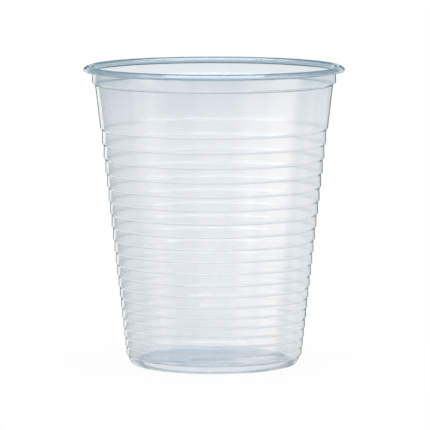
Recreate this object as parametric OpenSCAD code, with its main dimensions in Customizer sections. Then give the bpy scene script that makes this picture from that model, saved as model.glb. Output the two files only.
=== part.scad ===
// Clear ribbed drinking cup, thermoformed from one thin sheet.
// The section of the sheet is drawn once as its middle line, from the centre of the base,
// round the foot and heel, up the ribs and shoulder, to the free edge of the rolled lip.
// Every corner of that line carries its bend radius and the local sheet thickness.

/* [Cup] */
// Height from the table to the crest of the lip
cup_h = 80.4; // [62:0.1:105]
// Outside diameter over the rolled lip
mouth_d = 70; // [62:0.5:90]
// Outside diameter of the wall just above the heel
base_d = 46.2; // [38:0.1:54]

/* [Sheet] */
// Thickness of the stretched side wall
wall_t = 0.17; // [0.12:0.01:0.4]
// Thickness of the sheet left in the base
floor_t = 0.27; // [0.2:0.01:0.6]
// Thickness of the sheet in the rolled lip
lip_t = 0.24; // [0.18:0.01:0.4]

/* [Rolled lip] */
// How far the lip stands out past the neck
lip_overhang = 2.35; // [2.2:0.05:3.5]
// Bend radius over the crest
crest_bend = 1; // [0.7:0.05:1.1]
// Bend radius round the outer nose
nose_bend = 0.35; // [0.3:0.05:0.6]
// Fall of the lip's top from crest to nose, in degrees
lip_fall = 36; // [4:1:40]
// Rise of the turned-under edge from the neck to the nose, in degrees
tuck_rise = 10; // [0:1:35]
// Gap between the free edge and the neck
edge_gap = 0.12; // [0.05:0.01:0.4]

/* [Stacking shoulder] */
// Depth of the shoulder's outer corner below the crest
shoulder_drop = 4.4; // [3.8:0.05:7]
// Height over which the shoulder steps in
shoulder_h = 0.6; // [0.4:0.05:1.2]
// How far the shoulder steps in
shoulder_in = 0.78; // [0.4:0.02:1.3]
// Bend radius of the shoulder's two corners
shoulder_bend = 0.32; // [0.2:0.02:0.4]

/* [Smooth band] */
// Depth of the first rib below the crest
band_drop = 16.9; // [12:0.1:24]
// Draft of the smooth band, in degrees
band_draft = 6.7; // [3:0.1:9]

/* [Ribs] */
// Spacing of the first two ribs, at the top
top_pitch = 4.05; // [3:0.05:6]
// Spacing of the last two ribs, at the bottom
low_pitch = 2.36; // [1.9:0.02:3.6]
// Height over which each rib steps in
rib_h = 0.6; // [0.4:0.02:1]
// How much wider each rib is at its lower edge than at its upper edge, on the radius
rib_flare = 0.04; // [0:0.01:0.12]
// Bend radius of a rib's proud lower edge
rib_bend = 0.34; // [0.2:0.02:0.4]
// Bend radius of the hollow under each rib
groove_bend = 0.24; // [0.16:0.02:0.34]

/* [Base] */
// Height of the last rib above the table
heel_h = 2.55; // [2.4:0.05:5]
// How far the heel steps in under the last rib
heel_in = 0.5; // [0.1:0.02:0.6]
// Lean of the heel below the last rib, in degrees
heel_lean = 26; // [5:1:35]
// Bend radius of the heel
heel_bend = 1.4; // [0.8:0.05:1.8]
// Width of the foot ring on the table, between its bends
foot_w = 0.6; // [0.4:0.05:1.6]
// Bend radius at the inside of the foot ring
foot_bend = 0.4; // [0.28:0.02:0.5]
// Height of the raised floor over the table, to its underside
floor_rise = 1.5; // [1.1:0.05:3]
// Lean of the wall between the foot ring and the floor, in degrees
ring_draft = 14; // [4:1:25]
// Bend radius where that wall meets the floor
floor_bend = 0.45; // [0.3:0.05:0.5]

/* [Hidden] */

// Largest turn of one straight piece of a bend, and facets of the revolved sheet
bend_step = 12;
turn_facets = 180;

// The neck is drawn at its middle line, and the wall at its outer face
neck_mid_r = mouth_d / 2 - lip_overhang - wall_t / 2;
shoulder_r = mouth_d / 2 - lip_overhang - shoulder_in;
shoulder_z = cup_h - shoulder_drop;
shoulder_low_z = shoulder_z - shoulder_h;

// Heights of the ribs: their spacing shrinks by the same amount from each to the next
first_z = cup_h - band_drop;
rib_span = first_z - heel_h;
rib_gaps = round(2 * rib_span / (top_pitch + low_pitch));
pitch_fit = rib_span / (rib_gaps * (top_pitch + low_pitch) / 2);
pitch_loss = rib_gaps > 1 ? (top_pitch - low_pitch) / (rib_gaps - 1) : 0;
function rib_z(k) = first_z - pitch_fit * (k * top_pitch - pitch_loss * k * (k - 1) / 2);

// Outer radius of each rib at its lower edge, on a straight line down to the heel
first_r = shoulder_r - (shoulder_low_z - first_z - rib_h / 2) * tan(band_draft);
last_r = base_d / 2 + heel_in;
function rib_r(k) = first_r - (first_r - last_r) * (first_z - rib_z(k)) / rib_span;

// The base, at the middle line of its sheet
foot_z = floor_t / 2;
floor_z = floor_rise + floor_t / 2;
heel_top_z = heel_h - rib_h / 2;
heel_corner_r = base_d / 2 - floor_t / 2 - (heel_top_z - foot_z) * tan(heel_lean);
foot_out_r = heel_corner_r - heel_bend * tan((90 - heel_lean) / 2);
foot_in_r = foot_out_r - foot_w;
// A bend keeps this much of each of its sides, so the foot's corner lies outside its flat
foot_corner_r = foot_in_r - foot_bend * tan((90 - ring_draft) / 2);
floor_corner_r = foot_corner_r - (floor_z - foot_z) * tan(ring_draft);

// The lip, at the middle line of its sheet: two arcs joined by a straight fall
crest_c = [neck_mid_r + crest_bend, cup_h - lip_t / 2 - crest_bend];
nose_c_r = mouth_d / 2 - lip_t / 2 - nose_bend;
bend_loss = crest_bend - nose_bend;
fall_len = (nose_c_r - crest_c.x - bend_loss * sin(lip_fall)) / cos(lip_fall);
nose_c_z = crest_c.y + bend_loss * cos(lip_fall) - fall_len * sin(lip_fall);
tuck_from = tuck_rise - 90;
tuck_start = [nose_c_r, nose_c_z] + nose_bend * [cos(tuck_from), sin(tuck_from)];
edge_r = neck_mid_r + wall_t / 2 + edge_gap + lip_t / 2;
edge_z = tuck_start.y - (tuck_start.x - edge_r) * tan(tuck_rise);

// Two-dimensional part of a corner or point, and the direction from one to another
function flat(p) = [p.x, p.y];
function heading(a, b) = (flat(b) - flat(a)) / norm(flat(b) - flat(a));

// Points along an arc, from one angle to another, each with the sheet's thickness
function arc(centre, bend, from, to, t) =
    let (pieces = ceil(abs(to - from) / bend_step))
    [for (i = [0 : pieces])
        let (a = from + (to - from) * i / pieces)
        [centre.x + bend * cos(a), centre.y + bend * sin(a), t]];

// A corner is [radius, height, bend, thickness]. The bend is an arc that touches both sides.
function rounded(a, b, c) =
    let (back = heading(b, a), ahead = heading(b, c))
    let (half = acos(back * ahead) / 2, bend = b[2])
    let (centre = flat(b) + (back + ahead) / norm(back + ahead) * bend / sin(half))
    let (start = flat(b) + back * bend / tan(half) - centre)
    let (from = atan2(start.y, start.x), side = sign(cross(ahead, back)))
    arc(centre, bend, from, from + side * (180 - 2 * half), b[3]);

// One rib step, read upwards: the hollow under the rib, then the rib's proud lower edge
function rib_step(k, low_r) = [
    [low_r, rib_z(k) - rib_h / 2, groove_bend, wall_t],
    [rib_r(k) - wall_t / 2, rib_z(k) + rib_h / 2, rib_bend, wall_t]];

// Radius at the foot of each step: the next rib's upper edge, or the heel under the last
function under_r(k) = (k == rib_gaps ? base_d / 2 : rib_r(k + 1) - rib_flare) - wall_t / 2;

base_corners = [
    [0, floor_z, 0, floor_t],
    [floor_corner_r, floor_z, floor_bend, floor_t],
    [foot_corner_r, foot_z, foot_bend, floor_t],
    [heel_corner_r, foot_z, heel_bend, floor_t]];
rib_corners = [for (k = [rib_gaps : -1 : 0]) each rib_step(k, under_r(k))];
shoulder_corners = [
    [shoulder_r - wall_t / 2, shoulder_low_z, shoulder_bend, wall_t],
    [neck_mid_r, shoulder_z, shoulder_bend, wall_t],
    [neck_mid_r, crest_c.y, 0, lip_t]];

corners = concat(base_corners, rib_corners, shoulder_corners);
last = len(corners) - 1;
wall_line = [for (i = [1 : last - 1]) each rounded(corners[i - 1], corners[i], corners[i + 1])];
lip_line = concat(
    arc(crest_c, crest_bend, 180, 90 - lip_fall, lip_t),
    arc([nose_c_r, nose_c_z], nose_bend, 90 - lip_fall, tuck_from, lip_t),
    [[edge_r, edge_z, lip_t]]);
middle_line = concat([[0, floor_z, floor_t]], wall_line, lip_line);

// One face of the sheet, half its thickness to a side of the middle line. Each point stands
// on the mitre of the two straight pieces that meet there, so flats stay true flats.
function face(line, side) =
    let (end = len(line) - 1)
    let (along = [for (i = [1 : end]) heading(line[i - 1], line[i])])
    [for (i = [0 : end])
        let (before = along[max(i - 1, 0)], after = along[min(i, end - 1)])
        let (mitre = (before + after) / (1 + before * after))
        flat(line[i]) + side * line[i][2] / 2 * [mitre.y, -mitre.x]];

function reversed(line) = [for (i = [len(line) - 1 : -1 : 0]) line[i]];

module cup() {
    color([0.87, 0.91, 0.94, 0.5])
        rotate_extrude($fn = turn_facets)
            polygon(concat(face(middle_line, 1), reversed(face(middle_line, -1))));
}

cup();
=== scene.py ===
import math

import bpy
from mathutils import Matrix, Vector


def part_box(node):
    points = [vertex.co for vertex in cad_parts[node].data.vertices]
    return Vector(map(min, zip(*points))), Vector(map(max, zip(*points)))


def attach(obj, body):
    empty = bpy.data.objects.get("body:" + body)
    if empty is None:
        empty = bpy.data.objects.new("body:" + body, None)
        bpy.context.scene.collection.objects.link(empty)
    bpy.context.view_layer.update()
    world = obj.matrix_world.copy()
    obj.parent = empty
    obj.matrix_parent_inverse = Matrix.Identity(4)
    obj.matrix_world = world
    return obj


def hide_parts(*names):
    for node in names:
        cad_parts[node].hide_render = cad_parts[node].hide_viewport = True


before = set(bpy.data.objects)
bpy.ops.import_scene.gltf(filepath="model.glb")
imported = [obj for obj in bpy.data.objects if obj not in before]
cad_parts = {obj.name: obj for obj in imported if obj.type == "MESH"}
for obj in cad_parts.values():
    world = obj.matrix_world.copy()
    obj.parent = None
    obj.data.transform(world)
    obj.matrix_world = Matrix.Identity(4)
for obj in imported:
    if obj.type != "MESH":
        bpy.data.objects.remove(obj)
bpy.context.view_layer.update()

# Clear ribbed drinking cup, thermoformed from thin polypropylene sheet.
# Sizes are in millimetres and angles in degrees, and mm turns them into the scene's metres.
mm = 0.001
cupLow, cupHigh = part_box("cup")


def rise(angle):
    return math.tan(math.radians(angle))


def hexToLinear(colour):
    channels = [int(colour[i:i + 2], 16) / 255 for i in (1, 3, 5)]
    return [c / 12.92 if c <= 0.04045 else ((c + 0.055) / 1.055) ** 2.4 for c in channels] + [1.0]


# A mix node's inputs 2 and 3 are its numbers and 6 and 7 its colours. Its outputs 0 and 2 go with them.
def addNode(tree, kind, settings=None, inputs=None):
    node = tree.nodes.new(kind)
    for name, value in (settings or {}).items():
        setattr(node, name, value)
    for name, value in (inputs or {}).items():
        if isinstance(value, bpy.types.NodeSocket):
            tree.links.new(value, node.inputs[name])
        else:
            node.inputs[name].default_value = value
    return node


def emptyTree(owner):
    owner.use_nodes = True
    owner.node_tree.nodes.clear()
    return owner.node_tree


def addObject(name, data):
    added = bpy.data.objects.new(name, data)
    bpy.context.scene.collection.objects.link(added)
    return added


# The sheet's section, from the centre of the base out to the free edge of the rolled lip.
cupSheet = {
    "height": cupHigh.z / mm,
    "mouthWidth": (cupHigh.x - cupLow.x) / mm,
    "baseWidth": 46.2,      # outside, just above the heel
    "wallThick": 0.17,
    "floorThick": 0.27,
    "lipThick": 0.2,        # thinner than the solid's 0.24, for the fine lines along the real lip
    "lipOverhang": 2.35,    # how far the lip stands out past the neck
    "crestBend": 1.0,
    "noseBend": 0.35,
    "lipFall": 36,          # slope of the lip's top, from the crest down to the nose
    "tuckRise": 10,         # slope of the turned-under edge, from the neck up to the nose
    "edgeGap": 0.12,        # between the free edge and the neck
    "edgeShadeWidth": 0.5,      # width of that edge which takes the painted fold shade "edge", below
    "shoulderDrop": 4.4,    # below the crest
    "shoulderHeight": 0.6,
    "shoulderIn": 0.78,
    "shoulderBend": 0.32,
    "bandDrop": 16.9,       # first rib below the crest
    "bandDraft": 6.7,
    "topPitch": 4.05,       # rib spacing at the top and at the bottom
    "lowPitch": 2.36,
    "ribHeight": 0.6,
    "ribFlare": 0.04,
    "ribBend": 0.22,        # both bends are tighter than the solid's, for the real sheet's crisp lines
    "grooveBend": 0.13,
    "heelHeight": 2.55,
    "heelIn": 0.5,
    "heelLean": 26,
    "heelBend": 1.4,
    "footWidth": 0.6,
    "footBend": 0.4,
    "floorRise": 1.5,
    "ringDraft": 14,
    "floorBend": 0.45,
    "bendStep": 15,         # largest turn of one straight piece of a bend
    "supportGap": 0.04,     # from a straight's end to its extra point
    "supportFrom": 0.16,    # a straight that isn't longer than this gets none
    "axisGap": 1e-6,        # a point closer to the axis than this is on it
    "aroundCount": 144,     # facets round the cup, smoothed by their shading
    # The wall isn't perfectly round: both its faces move together in long shallow waves. Each wave is
    # a count round the cup, a length up the wall, a start and a share. A length below 0 leans it back.
    "waves": [(5, 61, 0.4, 0.30), (11, 23, 2.1, 0.20), (17, -31, 4.0, 0.22),
              (23, 47, 1.2, 0.18), (29, -19, 5.3, 0.10)],
    "waveDepth": 0.045,     # the sum of the waves, at most
    "waveLow": 4,           # the waves stop short of the base and of the shoulder
    "waveHigh": 75,
    "waveFade": 4,
    # Painted shade along the section: 0 leaves the open wall's colour and 1 darkens it most, toward a deep
    # teal. It is laid along the grooves, folds, lip and foot, where the cup shows dark lines and shade. A
    # list runs along one bend, in the section's direction.
    "paintedFoldShade": {
        "plate": [0.02, 0.02],
        "foot": [0.5, 0.5],
        "heel": [0.5, 0.0],
        "groove": [0.6, 0.6],
        "rib": [0.0, 0.0],
        "shoulderLow": [0.7, 0.7],
        "shoulder": [0.0, 0.0],
        "crest": [0.0, 0.2, 0.85, 0.85, 0.0],
        "nose": [0.0, 0.0, 0.0, 0.7, 1.0],
        "tuck": 0.05,
        "edge": 0.8,
    },
}


# The value at a share of the way along an evenly spaced list.
def between(values, share):
    place = share * (len(values) - 1)
    k = min(int(place), len(values) - 2)
    return values[k] + (values[k + 1] - values[k]) * (place - k)


# A point of the middle line is (radius, height, thickness, painted fold shade).
def arcPoints(s, centre, bend, fromAngle, toAngle, thick, foldShades):
    count = math.ceil(abs(toAngle - fromAngle) / s["bendStep"])
    points = []
    for i in range(count + 1):
        a = math.radians(fromAngle + (toAngle - fromAngle) * i / count)
        radius, height = centre[0] + bend * math.cos(a), centre[1] + bend * math.sin(a)
        points.append((radius, height, thick, between(foldShades, i / count)))
    return points


# One corner of the middle line, (radius, height, bend, thickness, painted fold shades), as the arc that
# touches both sides.
def bendCorner(s, before, corner, after):
    here, bend = Vector(corner[:2]), corner[2]
    back = (Vector(before[:2]) - here).normalized()
    ahead = (Vector(after[:2]) - here).normalized()
    half = back.angle(ahead) / 2
    centre = here + (back + ahead).normalized() * bend / math.sin(half)
    start = here + back * bend / math.tan(half) - centre
    side = 1 if ahead.x * back.y - ahead.y * back.x > 0 else -1
    fromAngle = math.degrees(math.atan2(start.y, start.x))
    toAngle = fromAngle + side * (180 - 2 * math.degrees(half))
    return arcPoints(s, centre, bend, fromAngle, toAngle, *corner[3:])


def baseCorners(s):
    footZ = s["floorThick"] / 2
    floorZ = s["floorRise"] + footZ
    heelTop = s["heelHeight"] - s["ribHeight"] / 2
    heelRadius = s["baseWidth"] / 2 - footZ - (heelTop - footZ) * rise(s["heelLean"])
    flatIn = heelRadius - s["heelBend"] * rise((90 - s["heelLean"]) / 2) - s["footWidth"]
    footRadius = flatIn - s["footBend"] * rise((90 - s["ringDraft"]) / 2)
    floorRadius = footRadius - s["floorRise"] * rise(s["ringDraft"])
    thick, depth = s["floorThick"], s["paintedFoldShade"]
    return [
        (0, floorZ, 0, thick, depth["plate"]),
        (floorRadius, floorZ, s["floorBend"], thick, depth["plate"]),
        (footRadius, footZ, s["footBend"], thick, depth["foot"]),
        (heelRadius, footZ, s["heelBend"], thick, depth["heel"])]


# Lower edge of each rib, from the top one down: the spacing shrinks by the same amount each time.
def ribRows(s, shoulderRadius, shoulderLow):
    firstZ = s["height"] - s["bandDrop"]
    span = firstZ - s["heelHeight"]
    gaps = round(2 * span / (s["topPitch"] + s["lowPitch"]))
    fit = span / (gaps * (s["topPitch"] + s["lowPitch"]) / 2)
    loss = (s["topPitch"] - s["lowPitch"]) / (gaps - 1)
    firstRadius = shoulderRadius - (shoulderLow - firstZ - s["ribHeight"] / 2) * rise(s["bandDraft"])
    lastRadius = s["baseWidth"] / 2 + s["heelIn"]
    rows = []
    for k in range(gaps + 1):
        z = firstZ - fit * (k * s["topPitch"] - loss * k * (k - 1) / 2)
        rows.append((firstRadius - (firstRadius - lastRadius) * (firstZ - z) / span, z))
    return rows


# Each rib steps in under its lower edge, to the next rib's upper edge or to the heel.
def ribCorners(s, rows):
    half, thick, depth = s["wallThick"] / 2, s["wallThick"], s["paintedFoldShade"]
    corners = []
    for k in reversed(range(len(rows))):
        lowRadius = s["baseWidth"] / 2 if k == len(rows) - 1 else rows[k + 1][0] - s["ribFlare"]
        radius, z = rows[k]
        corners += [
            (lowRadius - half, z - s["ribHeight"] / 2, s["grooveBend"], thick, depth["groove"]),
            (radius - half, z + s["ribHeight"] / 2, s["ribBend"], thick, depth["rib"])]
    return corners


# The rolled lip: two arcs joined by a straight fall, then the turned-under edge.
def lipLine(s, neckRadius):
    thick, depth = s["lipThick"], s["paintedFoldShade"]
    crest = (neckRadius + s["crestBend"], s["height"] - thick / 2 - s["crestBend"])
    noseRadius = s["mouthWidth"] / 2 - thick / 2 - s["noseBend"]
    loss = s["crestBend"] - s["noseBend"]
    fall = math.radians(s["lipFall"])
    fallLength = (noseRadius - crest[0] - loss * math.sin(fall)) / math.cos(fall)
    nose = (noseRadius, crest[1] + loss * math.cos(fall) - fallLength * math.sin(fall))
    fallAngle, tuckAngle = 90 - s["lipFall"], s["tuckRise"] - 90
    line = arcPoints(s, crest, s["crestBend"], 180, fallAngle, thick, depth["crest"])
    line += arcPoints(s, nose, s["noseBend"], fallAngle, tuckAngle, thick, depth["nose"])
    slope = rise(s["tuckRise"])
    edgeRadius = neckRadius + s["wallThick"] / 2 + s["edgeGap"] + thick / 2
    edgeZ = line[-1][1] - (line[-1][0] - edgeRadius) * slope
    near = (edgeRadius + s["edgeShadeWidth"], edgeZ + s["edgeShadeWidth"] * slope)
    middle = ((line[-1][0] + near[0]) / 2, (line[-1][1] + near[1]) / 2)
    ends = ((middle, "tuck"), (near, "edge"), ((edgeRadius, edgeZ), "edge"))
    return line + [(*place, thick, depth[part]) for place, part in ends]


# A straight gets a point close to each of its ends, so that smooth shading keeps it flat and a fold's
# painted shade stays at the fold.
def addSupports(s, line):
    supported = [line[0]]
    for a, b in zip(line, line[1:]):
        length = (Vector(b[:2]) - Vector(a[:2])).length
        near = s["supportGap"] / length
        for share in (near, 1 - near) if length > s["supportFrom"] else ():
            place = tuple(p + (q - p) * share for p, q in zip(a[:3], b[:3]))
            supported.append(place + (min(a[3], b[3]),))
        supported.append(b)
    return supported


def sheetLine(s):
    half, thick, depth = s["wallThick"] / 2, s["wallThick"], s["paintedFoldShade"]
    neckRadius = s["mouthWidth"] / 2 - s["lipOverhang"] - half
    shoulderRadius = neckRadius + half - s["shoulderIn"]
    shoulderZ = s["height"] - s["shoulderDrop"]
    shoulderLow = shoulderZ - s["shoulderHeight"]
    lip = lipLine(s, neckRadius)
    corners = baseCorners(s) + ribCorners(s, ribRows(s, shoulderRadius, shoulderLow))
    corners += [
        (shoulderRadius - half, shoulderLow, s["shoulderBend"], thick, depth["shoulderLow"]),
        (neckRadius, shoulderZ, s["shoulderBend"], thick, depth["shoulder"]),
        lip[0]]
    centre = corners[0]
    line = [(centre[0], centre[1], centre[3], centre[4][0])]
    for before, corner, after in zip(corners, corners[1:], corners[2:]):
        line += bendCorner(s, before, corner, after)
    return addSupports(s, line + lip)


# One face of the sheet: each point stands on the mitre of the two pieces that meet there.
def sheetFace(line, side):
    points = [Vector(p[:2]) for p in line]
    along = [(b - a).normalized() for a, b in zip(points, points[1:])]
    face = []
    for i, point in enumerate(points):
        before, after = along[max(i - 1, 0)], along[min(i, len(along) - 1)]
        mitre = (before + after) / (1 + before.dot(after))
        face.append(point + side * line[i][2] / 2 * Vector((mitre.y, -mitre.x)))
    return face


def wallWave(s, turn, z):
    fade = max(0.0, min(1.0, (z - s["waveLow"]) / s["waveFade"], (s["waveHigh"] - z) / s["waveFade"]))
    wave = sum(share * math.sin(count * turn + 2 * math.pi * z / length + start)
               for count, length, start, share in s["waves"])
    return s["waveDepth"] * fade * wave


def ringFaces(rings, count):
    faces = []
    for low, high in zip(rings, rings[1:]):
        for j in range(count):
            k = (j + 1) % count
            if len(low) == 1:
                faces.append((low[0], high[k], high[j]))
            elif len(high) == 1:
                faces.append((low[j], low[k], high[0]))
            else:
                faces.append((low[j], low[k], high[k], high[j]))
    return faces


def makeCupShell(s):
    line = sheetLine(s)
    outline = sheetFace(line, 1) + sheetFace(line, -1)[::-1]
    outlineFoldShades = [p[3] for p in line] + [p[3] for p in line[::-1]]
    count = s["aroundCount"]
    verts, rings, foldShades = [], [], []
    for point, depth in zip(outline, outlineFoldShades):
        if point.x < s["axisGap"]:      # the two centres of the base are single points
            rings.append([len(verts)])
            verts.append((0, 0, point.y * mm))
            foldShades.append(depth)
            continue
        rings.append(list(range(len(verts), len(verts) + count)))
        foldShades += [depth] * count
        for j in range(count):
            turn = 2 * math.pi * j / count
            radius = point.x + wallWave(s, turn, point.y)
            verts.append((radius * math.cos(turn) * mm, radius * math.sin(turn) * mm, point.y * mm))
    faces = ringFaces(rings, count)
    mesh = bpy.data.meshes.new("cupShell")
    mesh.from_pydata(verts, [], faces)
    mesh.polygons.foreach_set("use_smooth", [True] * len(mesh.polygons))
    # Painted shade: each point carries how far the material darkens it at the folds.
    mesh.attributes.new("paintedFoldShade", "FLOAT", "POINT").data.foreach_set("value", foldShades)
    mesh.update()
    print("cup shell:", len(line), "section points,", sum(len(f) - 2 for f in faces), "triangles")
    return addObject("cupShell", mesh)


# Clear polypropylene, drawn hot from sheet. It shows as a faint blue-grey glass with a trace of haze.
# Painted shade darkens it toward a deep teal along its folds, at the lip and the foot, more where the eye
# looks along the sheet, and all round its grazing outline.
clearPolypropylene = {
    "tint": "#f3f4f6",
    "foldShadeTint": "#8aa9b3",      # painted shade along folds, grooves, lip and foot, as much as the section gives
    "slantShare": 2.5,          # how much the painted fold shade grows with the slant of the gaze
    "straightShare": 0.4,       # and how much of it shows straight on
    "rimTint": "#e5eaee",       # the sheet's tint is darker toward its rim
    "rimLow": 60,
    "rimHigh": 79,
    "rimPower": 2,              # how late on the way up that comes
    "outlineShadeTint": "#2c4a55",      # painted shade: the dark outline where the eye only grazes the sheet
    "edgeFrom": 0.865,          # facing, 0 straight on and 1 edge on
    "edgeTo": 0.9,
    "edgeLow": 2.5,             # the painted outline shade begins above the base plate
    "edgeHigh": 4.0,
    "wallHigh": 77.0,           # above this the roll is clearer, with no drawing lines and no painted outline shade
    "wallFade": 1.3,
    "ior": 1.49,
    "roughness": 0.1,
    "roughShare": 0.3,          # how far the haze varies, against the roughness
    "lipRoughness": 0.04,
    "drawLineWidth": 2.2,       # faint lines that drawing leaves up the wall
    "drawLineLength": 45,
    "drawLineDepth": 0.008,
    "plateHigh": 2.2,           # the flat base, below this height, is uneven from its forming
    "plateFade": 0.1,
    "plateWave": 9,             # width of its dents
    "plateShift": 6.56,         # moves them across the base, in widths
    "plateDepth": 0.6,
    "depthColour": "#b9dbe6",
    "depthDensity": 160,        # per metre: what the sheet takes from light that runs along it
    "noiseLow": 0.3,            # nearly all of the noise lies between these
    "noiseHigh": 0.7,
}


def addUnevenness(tree, place, sizes, shift):
    grain = addNode(tree, "ShaderNodeMapping", inputs={
        "Vector": place, "Location": (shift, 0, 0), "Scale": [1 / (size * mm) for size in sizes]})
    return addNode(tree, "ShaderNodeTexNoise", inputs={
        "Vector": grain.outputs["Vector"], "Scale": 1.0, "Detail": 1.0}).outputs["Fac"]


def addHaze(tree, m, wall, drawn):
    haze = addNode(tree, "ShaderNodeMapRange", inputs={
        "Value": drawn, "From Min": m["noiseLow"], "From Max": m["noiseHigh"],
        "To Min": m["roughness"] * (1 - m["roughShare"]),
        "To Max": m["roughness"] * (1 + m["roughShare"])})
    return addNode(tree, "ShaderNodeMix", inputs={
        "Factor": wall, 2: m["lipRoughness"], 3: haze.outputs["Result"]}).outputs[0]


def addRelief(tree, m, place, height, wall, drawn):
    drawLines = addNode(tree, "ShaderNodeBump", inputs={
        "Height": drawn, "Strength": wall, "Distance": m["drawLineDepth"] * mm})
    dents = addUnevenness(tree, place, [m["plateWave"]] * 3, m["plateShift"])
    plate = addNode(tree, "ShaderNodeMapRange", inputs={
        "Value": height, "From Min": m["plateHigh"] * mm,
        "From Max": (m["plateHigh"] - m["plateFade"]) * mm})
    return addNode(tree, "ShaderNodeBump", inputs={
        "Height": dents, "Strength": plate.outputs["Result"], "Distance": m["plateDepth"] * mm,
        "Normal": drawLines.outputs["Normal"]}).outputs["Normal"]


def addTintAndPaintedShade(tree, m, height, wall):
    # The tint grows darker toward the rim.
    rim = addNode(tree, "ShaderNodeMapRange", inputs={
        "Value": height, "From Min": m["rimLow"] * mm, "From Max": m["rimHigh"] * mm})
    rimShare = addNode(tree, "ShaderNodeMath", {"operation": "POWER"}, {
        0: rim.outputs["Result"], 1: m["rimPower"]})
    tintTowardRim = addNode(tree, "ShaderNodeMix", {"data_type": "RGBA"}, {
        "Factor": rimShare.outputs[0], 6: hexToLinear(m["tint"]), 7: hexToLinear(m["rimTint"])})
    slant = addNode(tree, "ShaderNodeLayerWeight", inputs={"Blend": 0.5}).outputs["Facing"]
    # Painted shade: along folds, grooves, lip and foot the sheet is darkened toward a deep teal, the more
    # as the gaze slants.
    fold = addNode(tree, "ShaderNodeAttribute", {"attribute_name": "paintedFoldShade"})
    foldShare = addNode(tree, "ShaderNodeMapRange", inputs={
        "Value": slant, "To Min": m["straightShare"], "To Max": m["straightShare"] + m["slantShare"]})
    foldShadeShare = addNode(tree, "ShaderNodeMath", {"operation": "MULTIPLY", "use_clamp": True}, {
        0: fold.outputs["Fac"], 1: foldShare.outputs["Result"]})
    sheet = addNode(tree, "ShaderNodeMix", {"data_type": "RGBA"}, {
        "Factor": foldShadeShare.outputs[0], 6: tintTowardRim.outputs[2], 7: hexToLinear(m["foldShadeTint"])})
    # Painted shade: a dark teal outline where the gaze grazes the sheet, above the base plate.
    graze = addNode(tree, "ShaderNodeMapRange", {"interpolation_type": "SMOOTHSTEP"}, {
        "Value": slant, "From Min": m["edgeFrom"], "From Max": m["edgeTo"], "To Max": wall})
    aboveBase = addNode(tree, "ShaderNodeMapRange", inputs={
        "Value": height, "From Min": m["edgeLow"] * mm, "From Max": m["edgeHigh"] * mm})
    edge = addNode(tree, "ShaderNodeMath", {"operation": "MULTIPLY"}, {
        0: graze.outputs["Result"], 1: aboveBase.outputs["Result"]})
    return addNode(tree, "ShaderNodeMix", {"data_type": "RGBA"}, {
        "Factor": edge.outputs[0], 6: sheet.outputs[2], 7: hexToLinear(m["outlineShadeTint"])}).outputs[2]


def makeClearPolypropylene(m):
    material = bpy.data.materials.new("clear thermoformed polypropylene")
    tree = emptyTree(material)
    place = addNode(tree, "ShaderNodeTexCoord").outputs["Object"]
    height = addNode(tree, "ShaderNodeSeparateXYZ", inputs={0: place}).outputs["Z"]
    wall = addNode(tree, "ShaderNodeMapRange", inputs={
        "Value": height, "From Min": (m["wallHigh"] + m["wallFade"]) * mm,
        "From Max": m["wallHigh"] * mm}).outputs["Result"]
    drawn = addUnevenness(tree, place, (m["drawLineWidth"], m["drawLineWidth"], m["drawLineLength"]), 0)
    plastic = addNode(tree, "ShaderNodeBsdfPrincipled", inputs={
        "Base Color": addTintAndPaintedShade(tree, m, height, wall), "IOR": m["ior"], "Transmission Weight": 1.0,
        "Roughness": addHaze(tree, m, wall, drawn),
        "Normal": addRelief(tree, m, place, height, wall, drawn)})
    depth = addNode(tree, "ShaderNodeVolumeAbsorption", inputs={
        "Color": hexToLinear(m["depthColour"]), "Density": m["depthDensity"]})
    addNode(tree, "ShaderNodeOutputMaterial", inputs={
        "Surface": plastic.outputs["BSDF"], "Volume": depth.outputs["Volume"]})
    print("material:", material.name)
    return material


cupShell = makeCupShell(cupSheet)
cupShell.data.materials.append(makeClearPolypropylene(clearPolypropylene))
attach(cupShell, "root")
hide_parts("cup")

# A small white table in a white room. The table top is mostly white of itself, all of it at its edge,
# and the rest of it takes the lamps and the shadow.
studio = {
    "floorRadius": 100,
    "floorFacets": 96,
    "floorColour": "#ffffff",
    "floorOwnWhite": 0.96,
    "ownFrom": 0.2,         # from this share of the radius out, that white grows
    "ownTo": 0.8,           # and from this share out it is all there is
    # Tones of the room by the height of the gaze in degrees: white as far as the backdrop goes,
    # dim walls above it, and a white ceiling.
    "roomTones": [(-90, "#ffffff"), (0.3, "#ffffff"), (1.6, "#d4e0e5"), (4, "#c6d5dc"), (6, "#e8f5ff"),
                  (11, "#e8f5ff"), (16, "#8fb0bc"), (40, "#7398a5"), (58, "#e8eef0"), (90, "#ffffff")],
    "bounces": 32,          # enough for the many sheet faces along one gaze
    "mirrorBounces": 16,
}


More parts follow.
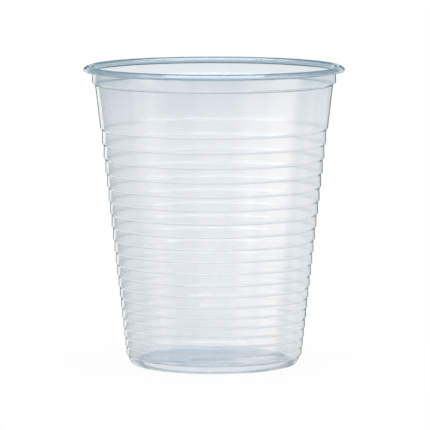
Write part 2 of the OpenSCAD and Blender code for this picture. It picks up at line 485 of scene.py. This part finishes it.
# White paper is matt, so that the table shows no reflection and only a soft shadow.
def makeSweepPaper(s):
    material = bpy.data.materials.new("white sweep paper")
    tree = emptyTree(material)
    rays = addNode(tree, "ShaderNodeLightPath")
    seen = addNode(tree, "ShaderNodeMath", {"operation": "MAXIMUM"}, {
        0: rays.outputs["Is Camera Ray"], 1: rays.outputs["Is Transmission Ray"]})
    place = addNode(tree, "ShaderNodeTexCoord")
    reach = addNode(tree, "ShaderNodeVectorMath", {"operation": "LENGTH"}, {0: place.outputs["Object"]})
    own = addNode(tree, "ShaderNodeMapRange", {"interpolation_type": "SMOOTHSTEP"}, {
        "Value": reach.outputs["Value"], "From Min": s["floorRadius"] * mm * s["ownFrom"],
        "From Max": s["floorRadius"] * mm * s["ownTo"], "To Min": s["floorOwnWhite"]})
    share = addNode(tree, "ShaderNodeMath", {"operation": "MULTIPLY"}, {
        0: seen.outputs[0], 1: own.outputs["Result"]})
    paper = addNode(tree, "ShaderNodeBsdfDiffuse", inputs={"Color": hexToLinear(s["floorColour"])})
    white = addNode(tree, "ShaderNodeEmission", inputs={"Strength": 1.0})
    mix = addNode(tree, "ShaderNodeMixShader", inputs={
        0: share.outputs[0], 1: paper.outputs[0], 2: white.outputs[0]})
    addNode(tree, "ShaderNodeOutputMaterial", inputs={"Surface": mix.outputs[0]})
    return material


def makeFloor(s):
    radius, count = s["floorRadius"] * mm, s["floorFacets"]
    turns = [2 * math.pi * k / count for k in range(count)]
    mesh = bpy.data.meshes.new("floor")
    mesh.from_pydata([(radius * math.cos(a), radius * math.sin(a), 0) for a in turns], [],
                     [tuple(range(count))])
    mesh.materials.append(makeSweepPaper(s))
    floor = addObject("floor", mesh)
    floor.visible_glossy = False        # the wall mirrors the cards down to the foot


def addTones(tree, height, tones):
    low = math.sin(math.radians(tones[0][0]))
    place = addNode(tree, "ShaderNodeMapRange", inputs={"Value": height, "From Min": low, "From Max": 1.0})
    ramp = addNode(tree, "ShaderNodeValToRGB", inputs={"Fac": place.outputs["Result"]})
    stops = ramp.color_ramp.elements
    while len(stops) < len(tones):
        stops.new(0.5)
    for stop, (angle, colour) in zip(stops, tones):
        stop.position = (math.sin(math.radians(angle)) - low) / (1 - low)
    for stop, (angle, colour) in zip(stops, tones):
        stop.color = hexToLinear(colour)
    return ramp.outputs["Color"]


def makeWorld(s):
    world = bpy.data.worlds.new("white room")
    bpy.context.scene.world = world
    tree = emptyTree(world)
    rays = addNode(tree, "ShaderNodeLightPath")
    gaze = addNode(tree, "ShaderNodeTexCoord")
    height = addNode(tree, "ShaderNodeSeparateXYZ", inputs={0: gaze.outputs["Generated"]}).outputs["Z"]
    shown = addNode(tree, "ShaderNodeMix", {"data_type": "RGBA"}, {
        "Factor": rays.outputs["Is Camera Ray"], 6: addTones(tree, height, s["roomTones"]),
        7: (1, 1, 1, 1)})
    light = addNode(tree, "ShaderNodeBackground", inputs={"Color": shown.outputs[2], "Strength": 1.0})
    addNode(tree, "ShaderNodeOutputWorld", inputs={"Surface": light.outputs[0]})


# Soft boxes round the cup, which show neither to the camera nor through the sheet. side is the angle
# from the camera, to its right, level the brightness against white paper, and soft the share of a
# box's width over which it dims at each side.
softBoxes = {
    "height": 130,
    "tall": 1160,
    "colour": "#ffe6cc",
    "boxes": {
        "rightBox": {"side": 71, "distance": 1100, "width": 980, "level": 3.2, "soft": 0.35},
        "rightFill": {"side": 40, "distance": 1150, "width": 1000, "level": 2.3, "soft": 0.5},
        "rightBackStrip": {"side": 110, "distance": 1100, "width": 420, "level": 0.4, "soft": 0.4},
        "leftStrip": {"side": -65, "distance": 1100, "width": 400, "level": 0.9, "soft": 0.45},
    },
}


# The cloth is brightest in its middle and dims toward its two sides.
def addCloth(tree, soft):
    middle = 0.5            # across it, one side is 0 and the other 1
    over = addNode(tree, "ShaderNodeNewGeometry")
    across = addNode(tree, "ShaderNodeSeparateXYZ", inputs={0: over.outputs["Parametric"]})
    off = addNode(tree, "ShaderNodeMath", {"operation": "SUBTRACT"}, {0: across.outputs["X"], 1: middle})
    out = addNode(tree, "ShaderNodeMath", {"operation": "ABSOLUTE"}, {0: off.outputs[0]})
    cloth = addNode(tree, "ShaderNodeMapRange", {"interpolation_type": "SMOOTHSTEP"}, {
        "Value": out.outputs[0], "From Min": middle, "From Max": middle - soft})
    glow = addNode(tree, "ShaderNodeEmission", inputs={"Strength": cloth.outputs["Result"]})
    addNode(tree, "ShaderNodeOutputLight", inputs={"Surface": glow.outputs[0]})


def makeSoftBoxes(s):
    for name, b in s["boxes"].items():
        lamp = bpy.data.lights.new(name, "AREA")
        lamp.shape = "RECTANGLE"
        lamp.size, lamp.size_y = b["width"] * mm, s["tall"] * mm
        lamp.energy = b["level"] * math.pi * lamp.size * lamp.size_y
        lamp.color = hexToLinear(s["colour"])[:3]
        addCloth(emptyTree(lamp), b["soft"])
        box = addObject(name, lamp)
        side, away = math.radians(b["side"]), b["distance"]
        box.location = Vector((math.sin(side) * away, -math.cos(side) * away, s["height"])) * mm
        aim = Vector((0, 0, s["height"] * mm))
        box.rotation_mode = "QUATERNION"
        box.rotation_quaternion = (aim - box.location).to_track_quat("-Z", "Y")
        box.visible_camera = box.visible_transmission = False


# Cards that the lamps don't light and the camera doesn't see: the plastic mirrors them. The dark ones
# draw the cup's outline and the white wings the bright line beside it, as in any glassware picture.
# side is the angle from the camera, to its right, level the brightness of the colour, and through
# says whether the card also shows through the sheet.
mirrorCards = {
    "distance": 1250,
    "low": -400,            # heights of their lower and upper edges
    "high": 300,
    "cards": {
        "leftEdge": {"side": -170, "width": 240, "colour": "#3c4e54", "level": 1.0, "through": False},
        "rightEdge": {"side": 169, "width": 300, "colour": "#62767e", "level": 1.0, "through": False},
        "leftWing": {"side": -157, "width": 330, "colour": "#ffffff", "level": 1.25, "through": True},
        "rightWing": {"side": 156, "width": 260, "colour": "#e6eef2", "level": 1.0, "through": True},
        "leftSide": {"side": -119, "width": 1600, "colour": "#66797f", "level": 1.0, "through": False},
        "leftFront": {"side": -32, "width": 700, "colour": "#7d8d97", "level": 1.0, "through": False},
    },
}

# A lit ceiling panel over the front of the table: it draws the light line along the rolled lip.
ceilingPanel = {"forward": 650, "height": 1080, "width": 2000, "colour": "#eef6ff", "level": 7.0,
                "through": False}


def makeCard(name, corners, c):
    material = bpy.data.materials.new("card " + name)
    tree = emptyTree(material)
    tone = addNode(tree, "ShaderNodeEmission", inputs={
        "Color": hexToLinear(c["colour"]), "Strength": c["level"]})
    addNode(tree, "ShaderNodeOutputMaterial", inputs={"Surface": tone.outputs[0]})
    mesh = bpy.data.meshes.new(name)
    mesh.from_pydata(corners, [], [(0, 1, 2, 3)])
    mesh.materials.append(material)
    card = addObject(name, mesh)
    card.visible_camera = card.visible_diffuse = card.visible_shadow = False
    card.visible_transmission = c["through"]
    return card


def makeMirrorCards(s):
    low, high = s["low"] * mm, s["high"] * mm
    for name, c in s["cards"].items():
        half = c["width"] * mm / 2
        card = makeCard(name, [(-half, 0, low), (half, 0, low), (half, 0, high), (-half, 0, high)], c)
        side = math.radians(c["side"])
        card.location = Vector((math.sin(side), -math.cos(side), 0)) * s["distance"] * mm
        card.rotation_euler = (0, 0, side)


def makeCeilingPanel(c):
    half = c["width"] * mm / 2
    corners = [(-half, -half, 0), (-half, half, 0), (half, half, 0), (half, -half, 0)]
    panel = makeCard("ceilingPanel", corners, c)
    panel.location = Vector((0, -c["forward"], c["height"])) * mm


makeFloor(studio)
makeWorld(studio)
print("table and room ready")
makeMirrorCards(mirrorCards)
makeCeilingPanel(ceilingPanel)
makeSoftBoxes(softBoxes)
print("light ready:", len(softBoxes["boxes"]), "soft boxes,", len(mirrorCards["cards"]), "cards, a panel")

# The photograph's view, worked out from the ellipses of the lip and ribs.
viewpoint = {
    "distance": 1187,
    "height": 166.9,
    "side": 0.24,
    "tiltDown": 6.096,
    "lens": 372.06,
    "sensor": 36,
    "nearest": 50,
    "farthest": 20000,
}


def makeCamera(v):
    lens = bpy.data.cameras.new("camera")
    lens.lens, lens.sensor_width = v["lens"], v["sensor"]
    lens.clip_start, lens.clip_end = v["nearest"] * mm, v["farthest"] * mm
    camera = addObject("camera", lens)
    camera.location = Vector((v["side"], -v["distance"], v["height"])) * mm
    camera.rotation_euler = (math.radians(90 - v["tiltDown"]), 0, 0)
    bpy.context.scene.camera = camera


makeCamera(viewpoint)
scene = bpy.context.scene
scene.view_settings.view_transform = "Standard"
scene.cycles.max_bounces = studio["bounces"]
scene.cycles.transmission_bounces = studio["bounces"]
scene.cycles.glossy_bounces = studio["mirrorBounces"]
print("camera set")
